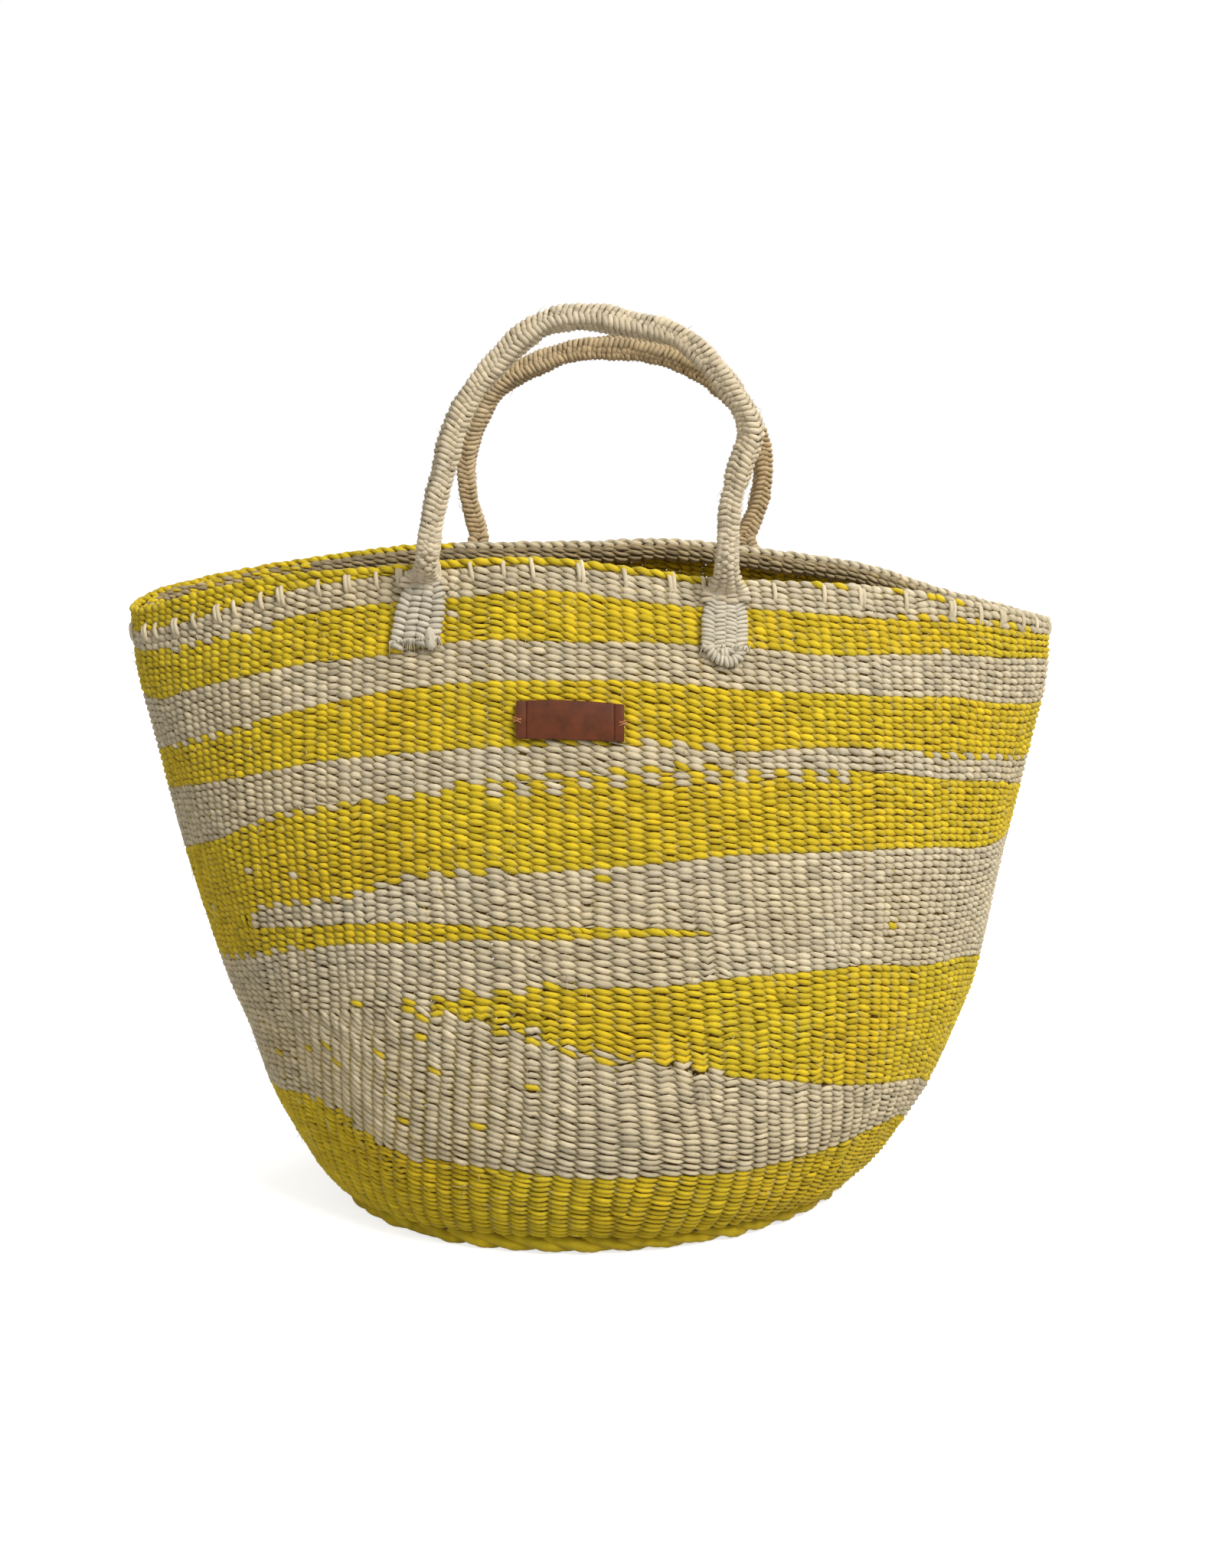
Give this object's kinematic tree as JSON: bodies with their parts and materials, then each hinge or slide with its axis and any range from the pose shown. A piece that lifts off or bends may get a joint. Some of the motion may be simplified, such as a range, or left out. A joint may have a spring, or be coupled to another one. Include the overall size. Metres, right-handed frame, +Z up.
{
  "type": "woven market basket",
  "caption": "Oval flared shopping basket of twined sisal with yellow and natural stripes, a bound rim, two swinging wrapped rope handles and a bare leather label.",
  "frame": {"origin": "middle of the flat underside of the oval base, on the surface that the basket stands on", "axes": "+Z up, +X along the mouth to the right, -Y the front with the leather label"},
  "size_m": [0.475, 0.2506, 0.4558],
  "materials": {
    "natural_sisal": "matt undyed sisal twine",
    "yellow_sisal": "matt dyed yellow sisal twine",
    "handle_sisal": "matt pale sisal wrapping",
    "core_sisal": "coarse laid sisal cord",
    "brown_leather": "smooth red-brown vegetable-tanned leather"
  },
  "bodies": {
    "basket": {"base_start": "yellow_sisal", "base_disc": "yellow_sisal", "base_welt": "yellow_sisal", "wall_base_yellow_band": "yellow_sisal", "wall_natural_ground": "natural_sisal", "wall_yellow_wedge": "yellow_sisal", "wall_yellow_thin_stripe": "yellow_sisal", "wall_yellow_wide_band": "yellow_sisal", "wall_natural_third_band": "natural_sisal", "wall_yellow_middle_band": "yellow_sisal", "wall_natural_second_band": "natural_sisal", "wall_yellow_upper_band": "yellow_sisal", "wall_natural_top_band": "natural_sisal", "rim_yellow_row": "yellow_sisal", "rim_roll": "natural_sisal", "tab_front_left": "handle_sisal", "tab_front_right": "handle_sisal", "tab_back_left": "handle_sisal", "tab_back_right": "handle_sisal", "leather_label": "brown_leather"},
    "handle_front": {"handle_front_wrap": "handle_sisal", "handle_front_core": "core_sisal"},
    "handle_back": {"handle_back_wrap": "handle_sisal", "handle_back_core": "core_sisal"}
  },
  "joints": [
    {"name": "handle_front_swing", "type": "hinge", "parent": "basket", "child": "handle_front", "pos_m": [-0.0118, -0.07673, 0.33879], "axis": [1, 0, 0], "range_deg": [-38, 120]},
    {"name": "handle_back_swing", "type": "hinge", "parent": "basket", "child": "handle_back", "pos_m": [0.0065, 0.07695, 0.33981], "axis": [-1, 0, 0], "range_deg": [-38, 120]}
  ]
}
